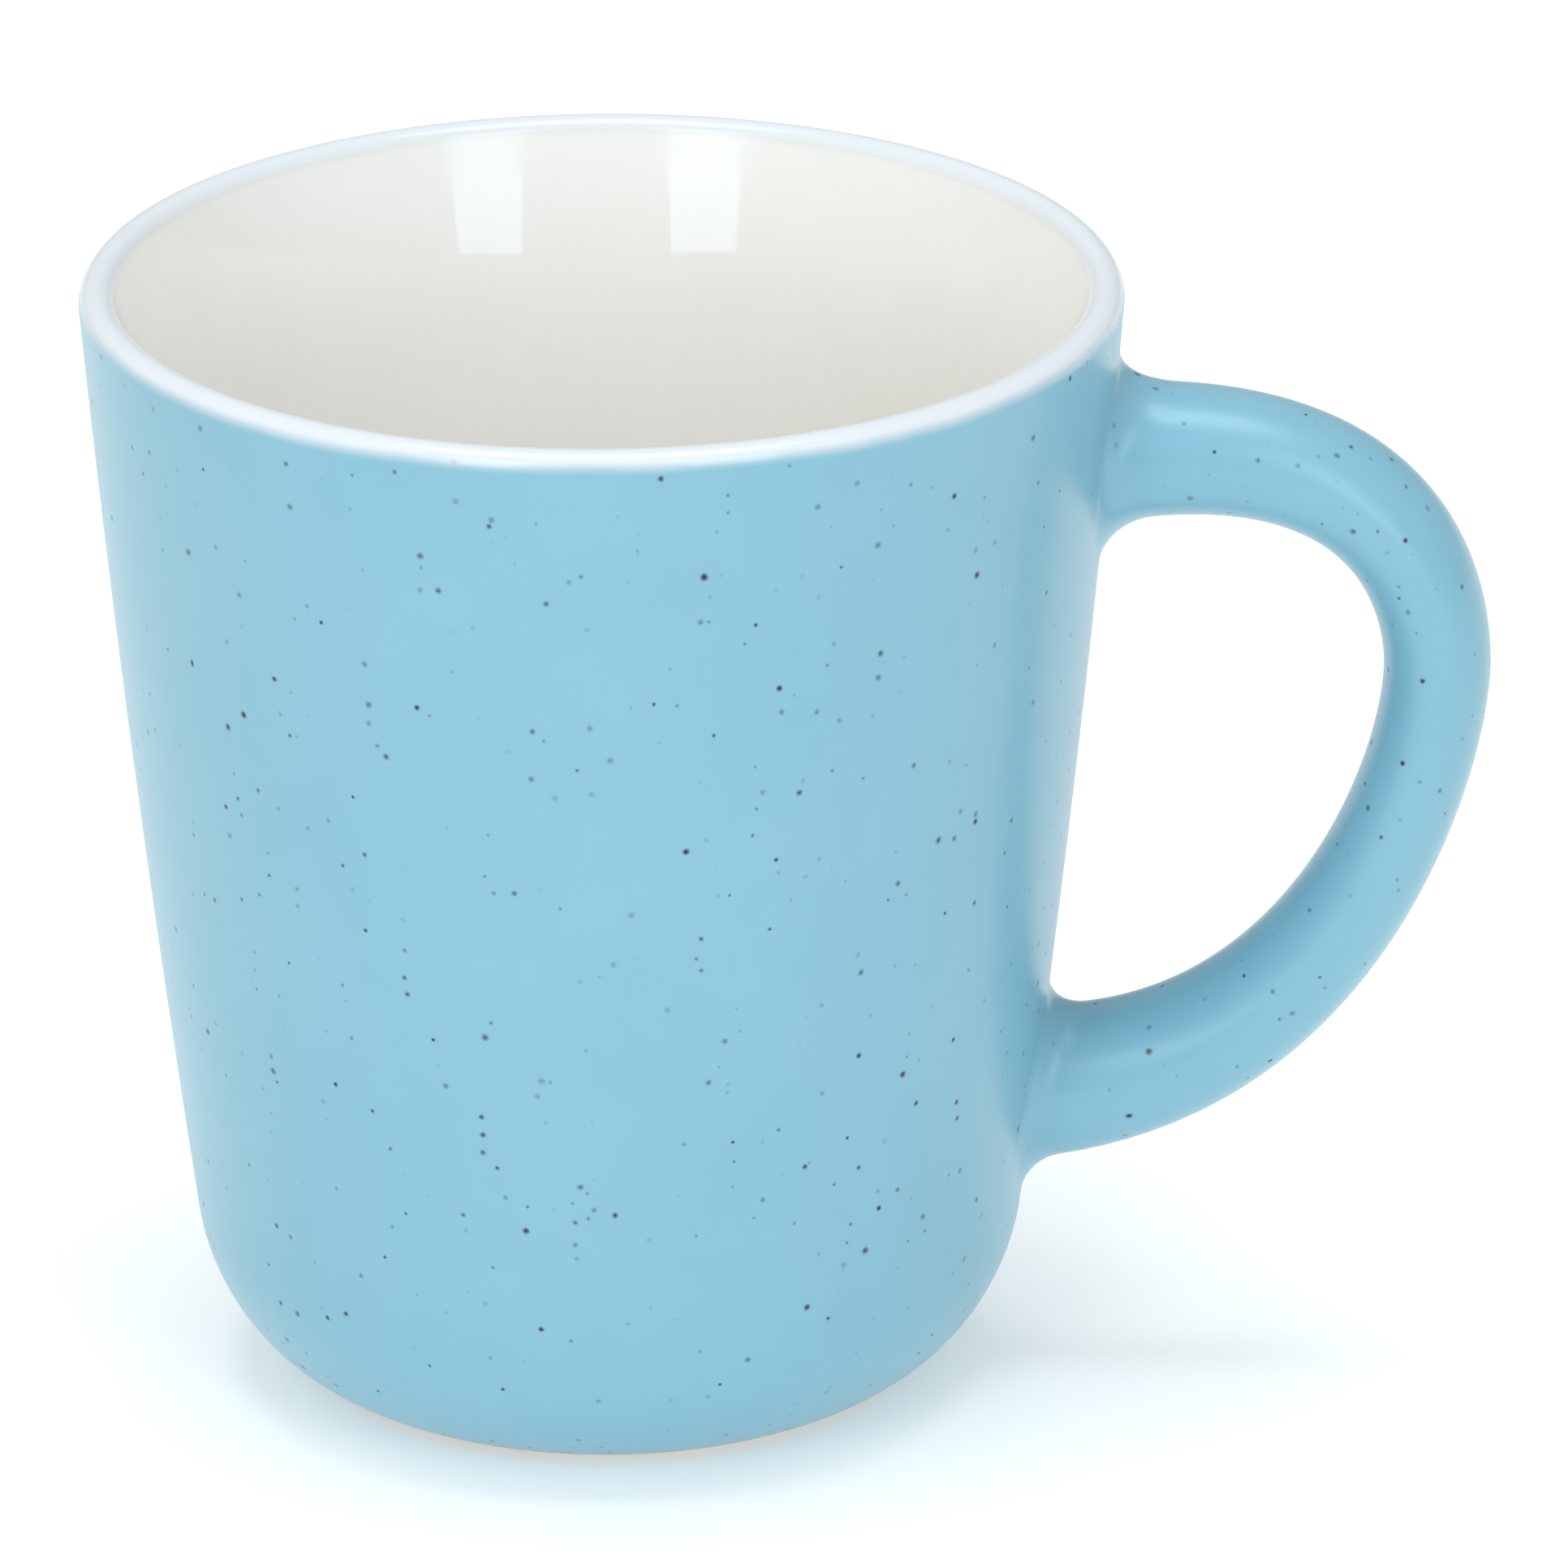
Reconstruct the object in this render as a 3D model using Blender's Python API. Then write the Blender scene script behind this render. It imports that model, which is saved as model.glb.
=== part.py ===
"""A stoneware mug with a tapered cup and a loop handle.

It is built in the layers that the real thing is made in: the clay cup, the clay handle, the two beads
of joining slip that hold the handle on, and the coats of glaze. Lengths are in metres, +Z is up, the
mug stands on Z = 0, and the handle points along +X. The origin is the middle of the mug's footprint,
so the cup's own axis lies at X = CUP_AXIS_X.
"""

import math

import bmesh
import bpy
import numpy as np

MM = 0.001

# Cup: the finished outer surface.
CUP_HEIGHT = 94.5 * MM
RIM_RADIUS = 42.5 * MM
LIP_THICKNESS = 3.0 * MM
WALL_END_RADIUS = 34.2 * MM
WALL_END_HEIGHT = 13.8 * MM
WALL_BOW = 0.5 * MM
FOOT_RADIUS = 22.4 * MM
FOOT_WIDTH = 3.4 * MM
FOOT_CHAMFER = 0.2 * MM
FOOT_APPROACH = math.radians(14)
BASE_CURVE_UPPER_PULL = 4.7 * MM
BASE_CURVE_LOWER_PULL = 7.9 * MM

# Cup: the finished inner surface and the recess under the floor.
WALL_THICKENING = 3.4 * MM
THICKENING_DEPTH = 11.5 * MM
INNER_CORNER_RADIUS = 14.0 * MM
FLOOR_HEIGHT = 7.0 * MM
RECESS_HEIGHT = 1.5 * MM
RECESS_DRAFT = 1.0 * MM

# Handle: the finished surface, in the plane Y = 0. Each point is (distance from the cup's axis, height).
UPPER_ROOT = (36.0 * MM, 79.2 * MM)
UPPER_ROOT_RISE = math.radians(11.3)
UPPER_PULL = 31.4 * MM
OUTERMOST = (68.3 * MM, 62.1 * MM)
OUTERMOST_CURVE_RADIUS = 15.2 * MM
LOWER_ROOT = (33.0 * MM, 24.4 * MM)
LOWER_PULL = 26.7 * MM
THINNEST_AT = 0.49
UPPER_HALF_THICKNESS = 6.0 * MM
THINNEST_HALF_THICKNESS = 4.35 * MM
LOWER_HALF_THICKNESS = 6.6 * MM
HALF_WIDTH = 6.0 * MM
ROOT_HALF_WIDTH = 6.6 * MM
JOINT_FILLET = 3.0 * MM

# Layers. A depth is measured inwards from the finished surface, and GAP keeps neighbours apart.
GLAZE = 0.4 * MM
GAP = 0.3 * MM
CLAY_DEPTH = GLAZE + GAP
SLIP_PAD = 0.4 * MM
SLIP_REACH = 1.8 * MM
SLIP_TOE = 0.8 * MM
GLAZE_TOE = 0.1 * MM
GLAZE_LINE_DROP = 0.95 * MM
GLAZE_END_HEIGHT = 0.6 * MM

# Fineness of the faceted surfaces.
TURNED_SIDES = 44
LIP_STEPS = 4
WALL_STEPS = 6
INNER_WALL_STEPS = 8
BASE_CURVE_STEPS = 7
CORNER_STEPS = 5
HANDLE_SIDES = 16
HANDLE_ROOT_SHARE = 0.1
HANDLE_ROOT_STATIONS = 11
HANDLE_MIDDLE_STATIONS = 20
CURVE_SAMPLES = 400
CREASE_ANGLE = math.radians(40)

HANDLE_REACH = OUTERMOST[0] + THINNEST_HALF_THICKNESS
CUP_AXIS_X = (RIM_RADIUS - HANDLE_REACH) / 2


# ---------------------------------------------------------------- scene, materials and objects


def clear_scene():
    for obj in list(bpy.data.objects):
        bpy.data.objects.remove(obj, do_unlink=True)


def make_material(name, colour, roughness):
    material = bpy.data.materials.new(name)
    material.use_nodes = True
    shader = material.node_tree.nodes["Principled BSDF"]
    shader.inputs["Base Color"].default_value = (*colour, 1.0)
    shader.inputs["Roughness"].default_value = roughness
    shader.inputs["Metallic"].default_value = 0.0
    material.diffuse_color = (*colour, 1.0)
    return material


def add_object(name, editable):
    """Turns a bmesh drawn about the cup's axis into an object in its place, with its faces outwards."""
    bmesh.ops.recalc_face_normals(editable, faces=editable.faces)
    mesh = bpy.data.meshes.new(name)
    editable.to_mesh(mesh)
    editable.free()
    obj = bpy.data.objects.new(name, mesh)
    obj.location.x = CUP_AXIS_X
    bpy.context.scene.collection.objects.link(obj)
    return obj


def finish_piece(obj, material):
    obj.data.materials.append(material)
    obj.data.shade_smooth()
    obj.data.set_sharp_from_angle(angle=CREASE_ANGLE)
    return obj


def make_cutter(obj):
    obj.hide_render = True
    obj.display_type = "WIRE"
    return obj


def add_boolean(obj, operation, other):
    modifier = obj.modifiers.new(f"{operation.lower()}_{other.name}", "BOOLEAN")
    modifier.operation = operation
    modifier.solver = "EXACT"
    modifier.object = other


# ---------------------------------------------------------------- outlines, as (distance from axis, height)


def bezier(points, steps):
    """Points along a cubic Bezier curve, both ends included."""
    start, first_pull, second_pull, end = (np.array(point) for point in points)
    t = np.linspace(0, 1, steps + 1)[:, None]
    return (
        (1 - t) ** 3 * start
        + 3 * (1 - t) ** 2 * t * first_pull
        + 3 * (1 - t) * t**2 * second_pull
        + t**3 * end
    )


def arc(centre, radius, start, end, steps):
    angles = np.linspace(start, end, steps + 1)[:, None]
    return np.array(centre) + radius * np.hstack([np.cos(angles), np.sin(angles)])


def sunk(outline, depth):
    """The outline moved into the clay, which lies to the right of the way every outline here runs."""
    along = np.gradient(outline, axis=0)
    along /= np.linalg.norm(along, axis=1)[:, None]
    return outline + depth * np.column_stack([along[:, 1], -along[:, 0]])


LIP_CENTRE = np.array([RIM_RADIUS - LIP_THICKNESS / 2, CUP_HEIGHT - LIP_THICKNESS / 2])
WALL_HEIGHT = LIP_CENTRE[1] - WALL_END_HEIGHT
WALL_TAPER = (RIM_RADIUS - WALL_END_RADIUS) / WALL_HEIGHT
WALL_TOP_LEAN = math.atan(WALL_TAPER - 4 * WALL_BOW / WALL_HEIGHT)
WALL_END_LEAN = math.atan(WALL_TAPER + 4 * WALL_BOW / WALL_HEIGHT)
INNER_LIP_LEAN = math.atan(math.tan(WALL_TOP_LEAN) + WALL_THICKENING / THICKENING_DEPTH)
INNER_LIP_END = LIP_CENTRE + LIP_THICKNESS / 2 * np.array(
    [-math.cos(INNER_LIP_LEAN), math.sin(INNER_LIP_LEAN)]
)


def wall_radius(height):
    """The outer radius of the wall: a straight taper with a slight outward bow."""
    share = (LIP_CENTRE[1] - height) / WALL_HEIGHT
    return RIM_RADIUS - (RIM_RADIUS - WALL_END_RADIUS) * share + 4 * WALL_BOW * share * (1 - share)


def inner_radius(height):
    """The inner radius: the wall thickens quickly just below the lip, and then hardly at all."""
    taper = wall_radius(INNER_LIP_END[1]) - wall_radius(height)
    thickening = WALL_THICKENING * np.tanh((INNER_LIP_END[1] - height) / THICKENING_DEPTH)
    return INNER_LIP_END[0] - taper - thickening


def lip_angle(drop):
    """The angle round the lip's section of the outer point that lies this far below the rim."""
    return math.asin(1 - drop / (LIP_THICKNESS / 2))


def inner_outline(lip_end):
    """From the middle of the floor up the inside and round the lip to this angle."""
    corner_top = FLOOR_HEIGHT + INNER_CORNER_RADIUS * (1 - math.sin(WALL_END_LEAN))
    corner_centre = np.array(
        [
            inner_radius(corner_top) - INNER_CORNER_RADIUS * math.cos(WALL_END_LEAN),
            FLOOR_HEIGHT + INNER_CORNER_RADIUS,
        ]
    )
    floor_middle = np.array([[0.0, FLOOR_HEIGHT]])
    corner = arc(corner_centre, INNER_CORNER_RADIUS, -math.pi / 2, -WALL_END_LEAN, CORNER_STEPS)
    # The rows of the wall lie closer together towards the lip, where it curves.
    drops = (INNER_LIP_END[1] - corner_top) * np.linspace(1, 0, INNER_WALL_STEPS + 1)[1:-1] ** 2
    heights = INNER_LIP_END[1] - drops
    wall = np.column_stack([inner_radius(heights), heights])
    inner_lip = arc(
        LIP_CENTRE, LIP_THICKNESS / 2, math.pi - INNER_LIP_LEAN, math.pi / 2, LIP_STEPS
    )
    outer_lip = arc(LIP_CENTRE, LIP_THICKNESS / 2, math.pi / 2, lip_end, LIP_STEPS)[1:]
    return np.vstack([floor_middle, corner, wall, inner_lip, outer_lip])


def outer_outline(lip_start):
    """From this angle round the lip down the wall and the base curve to the outer edge of the foot."""
    lip = arc(LIP_CENTRE, LIP_THICKNESS / 2, lip_start, -WALL_TOP_LEAN, LIP_STEPS)
    heights = np.linspace(lip[-1][1], WALL_END_HEIGHT, WALL_STEPS + 1)[1:-1]
    wall = np.column_stack([wall_radius(heights), heights])
    wall_end = np.array([WALL_END_RADIUS, WALL_END_HEIGHT])
    foot_edge = np.array([FOOT_RADIUS, 0.0])
    down_the_wall = np.array([-math.sin(WALL_END_LEAN), -math.cos(WALL_END_LEAN)])
    away_from_foot = np.array([math.cos(FOOT_APPROACH), math.sin(FOOT_APPROACH)])
    first_pull = wall_end + BASE_CURVE_UPPER_PULL * down_the_wall
    second_pull = foot_edge + BASE_CURVE_LOWER_PULL * away_from_foot
    base_curve = bezier((wall_end, first_pull, second_pull, foot_edge), BASE_CURVE_STEPS)
    return np.vstack([lip, wall, base_curve])


def ended_at_height(outline, height):
    """The upper stretch of an outline that falls all the way, ended exactly at this height."""
    radius = np.interp(height, outline[::-1, 1], outline[::-1, 0])
    return np.vstack([outline[outline[:, 1] > height], [radius, height]])


# ---------------------------------------------------------------- turned pieces


def turned(name, outline):
    """A solid of revolution, from an outline that starts and ends on the axis."""
    angles = np.linspace(0, 2 * math.pi, TURNED_SIDES, endpoint=False)
    editable = bmesh.new()
    first_tip = editable.verts.new((0.0, 0.0, outline[0][1]))
    last_tip = editable.verts.new((0.0, 0.0, outline[-1][1]))
    rings = [[first_tip] * TURNED_SIDES]
    for radius, height in outline[1:-1]:
        rings.append(
            [editable.verts.new((radius * math.cos(a), radius * math.sin(a), height)) for a in angles]
        )
    rings.append([last_tip] * TURNED_SIDES)
    for upper, lower in zip(rings, rings[1:]):
        for side in range(TURNED_SIDES):
            following = (side + 1) % TURNED_SIDES
            corners = [upper[side], upper[following], lower[following], lower[side]]
            editable.faces.new(list(dict.fromkeys(corners)))
    return add_object(name, editable)


def cup_core(name, depth):
    """A cutter with the cup's outer form at this depth, filled to the axis and open past both ends."""
    side = sunk(outer_outline(0.0), depth)
    side = side[side[:, 1] > 0]
    top = CUP_HEIGHT + LIP_THICKNESS
    bottom = -LIP_THICKNESS
    outline = np.vstack([[0.0, top], [side[0][0], top], side, [side[-1][0], bottom], [0.0, bottom]])
    return make_cutter(turned(name, outline))


def make_cup(clay):
    """The clay cup: wall, floor and the bare foot ring that it stands on."""
    over_the_lip = np.vstack([inner_outline(0.0), outer_outline(0.0)[1:]])
    surface = sunk(over_the_lip, CLAY_DEPTH)
    foot_outer_radius = FOOT_RADIUS + FOOT_CHAMFER
    foot_inner_radius = FOOT_RADIUS - FOOT_WIDTH
    foot_top = GLAZE_END_HEIGHT + CLAY_DEPTH
    at_foot = (surface[:, 1] < foot_top) | (surface[:, 0] < foot_outer_radius)
    past_lip = np.arange(len(surface)) > np.argmax(surface[:, 1])
    surface = surface[~(at_foot & past_lip)]
    recess_roof = RECESS_HEIGHT + CLAY_DEPTH
    foot = [
        [foot_outer_radius, foot_top],
        [foot_outer_radius, FOOT_CHAMFER],
        [FOOT_RADIUS, 0.0],
        [foot_inner_radius, 0.0],
        [foot_inner_radius - FOOT_CHAMFER, FOOT_CHAMFER],
        [foot_inner_radius - RECESS_DRAFT, recess_roof],
        [0.0, recess_roof],
    ]
    return finish_piece(turned("cup_clay", np.vstack([surface, foot])), clay)


def make_liner_glaze(white):
    """The white glaze that lines the cup and runs over the rim to the edge of the outer glaze."""
    finished = inner_outline(lip_angle(GLAZE_LINE_DROP - GAP))
    back = sunk(finished, GLAZE)
    return finish_piece(turned("liner_glaze", np.vstack([finished, back[::-1]])), white)


def make_base_glaze(white):
    """The disc of white glaze in the recess under the cup."""
    radius = FOOT_RADIUS - FOOT_WIDTH - RECESS_DRAFT - GAP
    top = RECESS_HEIGHT + GLAZE
    outline = np.array([[0.0, top], [radius, top], [radius, RECESS_HEIGHT], [0.0, RECESS_HEIGHT]])
    return finish_piece(turned("base_glaze", outline), white)


# ---------------------------------------------------------------- handle, joints and outer glaze


def handle_route():
    """The handle's centre line from root to root, as points and the share of its length at each."""
    upper_root, outermost, lower_root = np.array([UPPER_ROOT, OUTERMOST, LOWER_ROOT])
    rise = np.array([math.cos(UPPER_ROOT_RISE), math.sin(UPPER_ROOT_RISE)])
    upper_pull = upper_root + UPPER_PULL * rise
    lower_pull = lower_root + [LOWER_PULL, 0.0]
    # With pulls of these lengths both stretches have the same curvature where they meet.
    above = math.sqrt(2 / 3 * (outermost[0] - upper_pull[0]) * OUTERMOST_CURVE_RADIUS)
    below = math.sqrt(2 / 3 * (outermost[0] - lower_pull[0]) * OUTERMOST_CURVE_RADIUS)
    upper = bezier((upper_root, upper_pull, outermost + [0, above], outermost), CURVE_SAMPLES)
    lower = bezier((outermost, outermost - [0, below], lower_pull, lower_root), CURVE_SAMPLES)
    points = np.vstack([upper, lower[1:]])
    steps = np.linalg.norm(np.diff(points, axis=0), axis=1)
    lengths = np.insert(np.cumsum(steps), 0, 0.0)
    return points, lengths / lengths[-1]


def half_thickness(share):
    """Half the thickness in the handle's own plane: least near the middle, more towards each root."""
    to_upper = max(1 - share / THINNEST_AT, 0) ** 2
    to_lower = max((share - THINNEST_AT) / (1 - THINNEST_AT), 0) ** 2
    return (
        THINNEST_HALF_THICKNESS
        + (UPPER_HALF_THICKNESS - THINNEST_HALF_THICKNESS) * to_upper
        + (LOWER_HALF_THICKNESS - THINNEST_HALF_THICKNESS) * to_lower
    )


def half_width(share):
    return HALF_WIDTH + (ROOT_HALF_WIDTH - HALF_WIDTH) * abs(2 * share - 1) ** 3


def fillet_flare(distance, radius, toe):
    """How far a fillet stands off the handle's flank at this distance from the wall.

    It grows no further within the last stretch, the toe, so that it meets the wall at an angle.
    """
    run = max(radius - max(distance, toe), 0.0)
    return radius - math.sqrt(radius**2 - run**2)


def handle_stations():
    """Shares of the handle's length, close together near the roots, where the fillets are."""
    upper = np.linspace(0, HANDLE_ROOT_SHARE, HANDLE_ROOT_STATIONS)
    middle = np.linspace(HANDLE_ROOT_SHARE, 1 - HANDLE_ROOT_SHARE, HANDLE_MIDDLE_STATIONS)
    lower = 1 - upper[::-1]
    return np.concatenate([upper, middle[1:-1], lower])


def handle_section(share, depth, fillet_toe):
    """The points of one elliptical section across the centre line, at this depth in the handle.

    With a fillet toe, a point also moves out as it nears the wall, which forms the joint's fillet.
    """
    points, lengths = handle_route()
    behind, centre, ahead = (
        np.array([np.interp(share + shift, lengths, points[:, axis]) for axis in (0, 1)])
        for shift in (-1 / CURVE_SAMPLES, 0, 1 / CURVE_SAMPLES)
    )
    along = (ahead - behind) / np.linalg.norm(ahead - behind)
    outward = np.array([-along[1], along[0]])
    section = []
    for angle in np.linspace(0, 2 * math.pi, HANDLE_SIDES, endpoint=False):
        in_plane = (half_thickness(share) - depth) * math.cos(angle)
        sideways = (half_width(share) - depth) * math.sin(angle)
        if fillet_toe:
            radial, height = centre + in_plane * outward
            distance = math.hypot(radial, sideways) - wall_radius(height) + depth
            flare = fillet_flare(distance, JOINT_FILLET + depth, fillet_toe)
            in_plane += flare * math.cos(angle)
            sideways += flare * math.sin(angle)
        radial, height = centre + in_plane * outward
        section.append((radial, sideways, height))
    return section


def handle_solid(name, depth, stations, fillet_toe=None):
    """The handle's solid at this depth below its finished surface, through these stations."""
    editable = bmesh.new()
    sections = [
        [editable.verts.new(point) for point in handle_section(share, depth, fillet_toe)]
        for share in stations
    ]
    for near, far in zip(sections, sections[1:]):
        for side in range(HANDLE_SIDES):
            following = (side + 1) % HANDLE_SIDES
            editable.faces.new((near[side], near[following], far[following], far[side]))
    editable.faces.new(sections[0])
    editable.faces.new(sections[-1])
    return add_object(name, editable)


def make_handle(clay):
    """The clay handle, its ends shaped to the wall and held off it by the pads of slip."""
    handle = handle_solid("handle_clay", CLAY_DEPTH, handle_stations())
    standoff = GAP + SLIP_PAD + GAP
    add_boolean(handle, "DIFFERENCE", cup_core("handle_ends", CLAY_DEPTH - standoff))
    return finish_piece(handle, clay)


def make_joining_slip(name, stations, slip_clay):
    """A bead of slip: a pad between the wall and the handle's end, with a fillet round that end."""
    slip = handle_solid(name, CLAY_DEPTH, stations, SLIP_TOE)
    socket = make_cutter(handle_solid(f"socket_of_{name}", GLAZE, stations))
    pad_depth = CLAY_DEPTH - GAP - SLIP_PAD
    add_boolean(socket, "DIFFERENCE", cup_core(f"pad_of_{name}", pad_depth))
    add_boolean(slip, "INTERSECT", cup_core(f"reach_of_{name}", CLAY_DEPTH - SLIP_REACH))
    add_boolean(slip, "DIFFERENCE", cup_core(f"wall_behind_{name}", GLAZE))
    add_boolean(slip, "DIFFERENCE", socket)
    return finish_piece(slip, slip_clay)


def make_outer_glaze(blue):
    """The one coat of coloured glaze over the wall, the joints and the handle."""
    top = CUP_HEIGHT - GLAZE_LINE_DROP - GAP / 2
    finished = ended_at_height(outer_outline(lip_angle(CUP_HEIGHT - top)), GLAZE_END_HEIGHT)
    outline = np.vstack([[0.0, top], finished, [0.0, GLAZE_END_HEIGHT]])
    glaze = turned("outer_glaze", outline)
    stations = handle_stations()
    handle_form = make_cutter(handle_solid("handle_form", 0.0, stations[1:-1], GLAZE_TOE))
    handle_hollow = make_cutter(handle_solid("handle_hollow", GLAZE, stations, GLAZE_TOE))
    add_boolean(glaze, "UNION", handle_form)
    add_boolean(glaze, "DIFFERENCE", handle_hollow)
    add_boolean(glaze, "DIFFERENCE", cup_core("cup_hollow", GLAZE))
    return finish_piece(glaze, blue)


def main():
    clear_scene()
    clay = make_material("stoneware_clay", (0.78, 0.74, 0.67), 0.85)
    slip_clay = make_material("joining_slip", (0.72, 0.68, 0.61), 0.9)
    white = make_material("white_gloss_glaze", (0.80, 0.80, 0.76), 0.1)
    blue = make_material("blue_satin_glaze", (0.28, 0.58, 0.74), 0.45)
    stations = handle_stations()
    make_cup(clay)
    make_handle(clay)
    make_joining_slip("upper_joining_slip", stations[: HANDLE_ROOT_STATIONS + 1], slip_clay)
    make_joining_slip("lower_joining_slip", stations[-HANDLE_ROOT_STATIONS - 1 :], slip_clay)
    make_liner_glaze(white)
    make_base_glaze(white)
    make_outer_glaze(blue)


main()
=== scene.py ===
"""The looks of a stoneware mug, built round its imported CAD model.

Each coat of glaze becomes a fine closed skin, the cup's clay gets a rounded bare foot, and every piece
gets a procedural material. Lengths are in metres. Shapes are drawn about the cup's own axis, with the
handle towards +X, and then set in their place. They follow the same outlines as the CAD model.
"""

import math

import bpy
import numpy as np
from mathutils import Matrix, Vector


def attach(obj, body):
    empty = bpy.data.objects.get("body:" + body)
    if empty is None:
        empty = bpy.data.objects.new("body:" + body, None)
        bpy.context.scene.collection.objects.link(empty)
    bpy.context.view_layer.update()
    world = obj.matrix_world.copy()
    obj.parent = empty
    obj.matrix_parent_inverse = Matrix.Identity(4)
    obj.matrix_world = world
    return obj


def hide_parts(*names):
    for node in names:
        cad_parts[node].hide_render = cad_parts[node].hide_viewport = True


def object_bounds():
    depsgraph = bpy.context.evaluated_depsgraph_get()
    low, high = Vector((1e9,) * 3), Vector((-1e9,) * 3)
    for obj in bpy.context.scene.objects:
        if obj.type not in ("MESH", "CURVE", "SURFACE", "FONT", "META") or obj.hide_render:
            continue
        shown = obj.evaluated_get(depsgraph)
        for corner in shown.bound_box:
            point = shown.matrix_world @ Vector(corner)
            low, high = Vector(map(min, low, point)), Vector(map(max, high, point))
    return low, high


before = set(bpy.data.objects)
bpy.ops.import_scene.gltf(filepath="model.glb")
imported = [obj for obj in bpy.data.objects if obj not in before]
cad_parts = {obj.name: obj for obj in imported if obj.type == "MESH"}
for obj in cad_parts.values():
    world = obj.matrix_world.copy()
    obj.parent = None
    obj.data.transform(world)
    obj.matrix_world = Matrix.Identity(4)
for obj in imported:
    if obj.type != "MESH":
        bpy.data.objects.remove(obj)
cad_low, cad_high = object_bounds()

MM = 0.001

# Cup: the finished outer surface.
CUP_HEIGHT = cad_high.z
RIM_RADIUS = cad_high.y
CUP_AXIS_X = cad_low.x + RIM_RADIUS
LIP_THICKNESS = 3.0 * MM
WALL_END_RADIUS = 34.2 * MM
WALL_END_HEIGHT = 13.8 * MM
WALL_BOW = 0.5 * MM
FOOT_RADIUS = 22.4 * MM
FOOT_WIDTH = 3.4 * MM
FOOT_ROUNDING = 0.35 * MM
FOOT_APPROACH = math.radians(14)
BASE_CURVE_UPPER_PULL = 4.7 * MM
BASE_CURVE_LOWER_PULL = 7.9 * MM

# Cup: the finished inner surface and the recess under the floor.
WALL_THICKENING = 3.4 * MM
THICKENING_DEPTH = 11.5 * MM
INNER_CORNER_RADIUS = 14.0 * MM
FLOOR_HEIGHT = 7.0 * MM
RECESS_HEIGHT = 1.5 * MM
RECESS_DRAFT = 1.0 * MM

# Handle: the finished surface. Each point is (distance from the cup's axis, height).
UPPER_ROOT = (36.0 * MM, 79.2 * MM)
UPPER_ROOT_RISE = math.radians(11.3)
UPPER_PULL = 31.4 * MM
THINNEST_HALF_THICKNESS = 4.35 * MM
OUTERMOST_INSET = 0.04 * MM
OUTERMOST = (cad_high.x - CUP_AXIS_X - THINNEST_HALF_THICKNESS - OUTERMOST_INSET, 62.1 * MM)
OUTERMOST_CURVE_RADIUS = 15.2 * MM
LOWER_ROOT = (33.0 * MM, 24.4 * MM)
LOWER_PULL = 26.7 * MM
THINNEST_AT = 0.49
UPPER_HALF_THICKNESS = 6.0 * MM
LOWER_HALF_THICKNESS = 6.6 * MM
HALF_WIDTH = 6.0 * MM
ROOT_HALF_WIDTH = 6.6 * MM

# Joint fillets: how far each reaches along the handle and along the wall, on the handle's outer side,
# on its inner side and at its flanks.
UPPER_FILLET_ON_HANDLE = (5.6 * MM, 4.6 * MM, 2.2 * MM)
UPPER_FILLET_ON_WALL = (2.8 * MM, 3.5 * MM, 1.7 * MM)
LOWER_FILLET_ON_HANDLE = (3.0 * MM, 3.6 * MM, 2.3 * MM)
LOWER_FILLET_ON_WALL = (3.0 * MM, 2.6 * MM, 1.8 * MM)
FILLET_FULLNESS = 0.58
TANGENT_STEP = 0.02

# Glaze: its thickness, the gap between it and the clay behind, and where the blue coat begins and ends.
GLAZE = 0.4 * MM
CONTACT = 0.02 * MM
CREEP_WIDTH = 4 * GLAZE
GLAZE_LINE_LENGTH = 1.8 * MM
GLAZE_LINE_SWAY = 0.22 * MM
GLAZE_LINE_LOWEST = math.radians(-50)
GLAZE_LINE_MARGIN = 0.95 * MM
GLAZE_END_HEIGHT = 0.6 * MM
GLAZE_END_ROUNDING = 0.8 * MM
BELOW_LINE = "below_glaze_line"

# Fineness of the surfaces.
SIDES = 192
ROW_SPACING = 1.5 * MM
LIP_ROWS = 24
SEAM_ROWS = 12
TOE_ROWS = 6
FLOOR_ROWS = 10
CORNER_ROWS = 14
INNER_WALL_ROWS = 48
INNER_WALL_CROWDING = 1.5
OUTER_CLAY_ROWS = 30
FOOT_EDGE_ROWS = 5
CREEP_ROWS = 8
DISC_ROWS = 11
BLOCK_HALF_SEGMENTS = 10
BLOCK_ROWS = 16
HANDLE_SIDES = 4 * BLOCK_HALF_SEGMENTS + 2 * BLOCK_ROWS
TRANSITION_RINGS = 5
FILLET_RINGS = 10
ROOT_RINGS = 6
MIDDLE_STATIONS = 84
ROOT_SHARE = 0.14
CURVE_SAMPLES = 1200
CREASE_ANGLE = math.radians(40)

# White glaze.
WHITE = (0.925, 0.90, 0.855, 1.0)
WHITE_DEEP = (0.915, 0.89, 0.84, 1.0)
WHITE_CLOUD_SIZE = 9 * MM
# The white on top of the lip is painted darker and bluer: painted shade where the overhead light falls, and
# a painted bluish reflection. The next line gives the heights under the rim over which it takes over.
LIP_WHITE_PAINTED_SHADE_AND_REFLECTION = (0.75, 0.775, 0.80, 1.0)
LIP_PAINT_BELOW_RIM = (1.5 * MM, 0.2 * MM)
GLOSS_ROUGHNESS = (0.03, 0.06)
GLOSS_PATCH_SIZE = 3 * MM
LIP_ROUGHNESS = 0.16
LIP_ROUGHNESS_BELOW_RIM = (6 * MM, 2 * MM)
RIPPLE_SIZE = 1.5 * MM
RIPPLE_DEPTH = 0.002 * MM

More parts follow.
